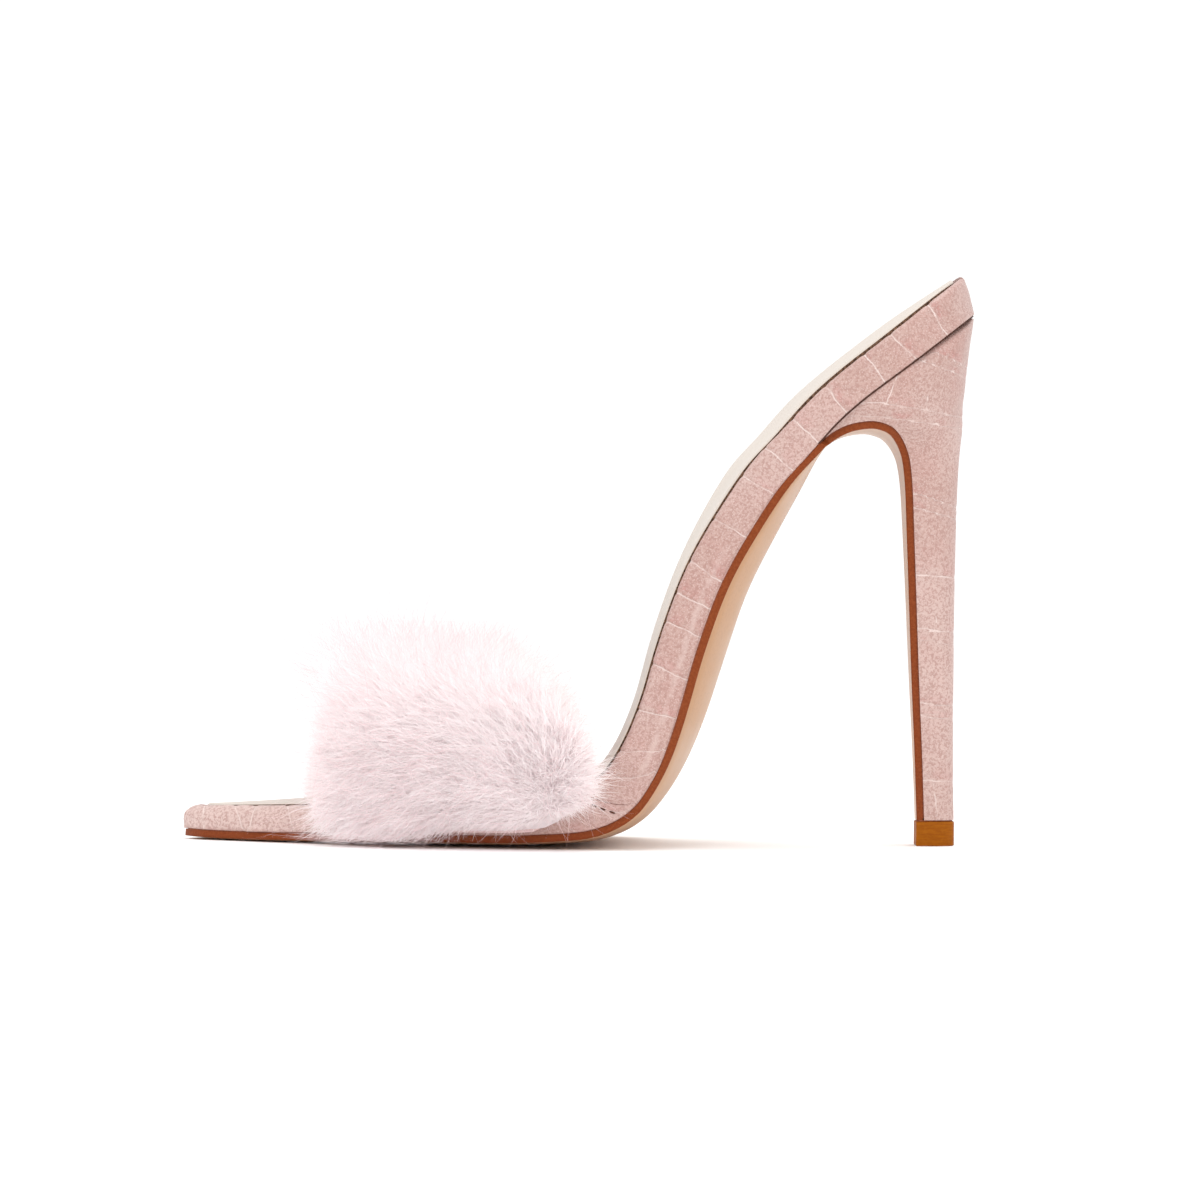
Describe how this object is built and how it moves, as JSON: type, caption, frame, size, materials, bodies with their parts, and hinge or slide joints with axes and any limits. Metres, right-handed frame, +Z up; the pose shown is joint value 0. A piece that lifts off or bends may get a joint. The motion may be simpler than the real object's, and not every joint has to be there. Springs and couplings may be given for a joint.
{
  "type": "high heel shoe",
  "caption": "Left high heel mule: a pointed, wrapped footbed on a slim stiletto heel, with a thin sole turned down the breast and a wide vamp strap covered in long fur.",
  "frame": {"origin": "on the floor, in the middle of the sole's flat tread spot under the forefoot", "axes": "+X from the toe towards the heel, +Z up, +Y towards the inner (medial) side; the outer (lateral) side faces -Y"},
  "size_m": [0.1887, 0.1096, 0.1364],
  "materials": {
    "sole": "smooth tan underside with a rust-brown painted edge",
    "cover": "pale pink, embossed with a large scale pattern, semi-gloss",
    "insole": "cream, smooth, padded",
    "lining": "matt pale pink",
    "fur": "long soft pile, near-white pink",
    "heel_cover": "pale pink, embossed with a large scale pattern, semi-gloss",
    "top_piece": "orange-tan, matt"
  },
  "bodies": {
    "root": {"outsole": "sole", "footbed": "cover", "insole": "insole", "vamp_strap": "lining", "vamp_fur": "fur", "heel": "heel_cover", "top_piece": "top_piece"}
  },
  "joints": []
}
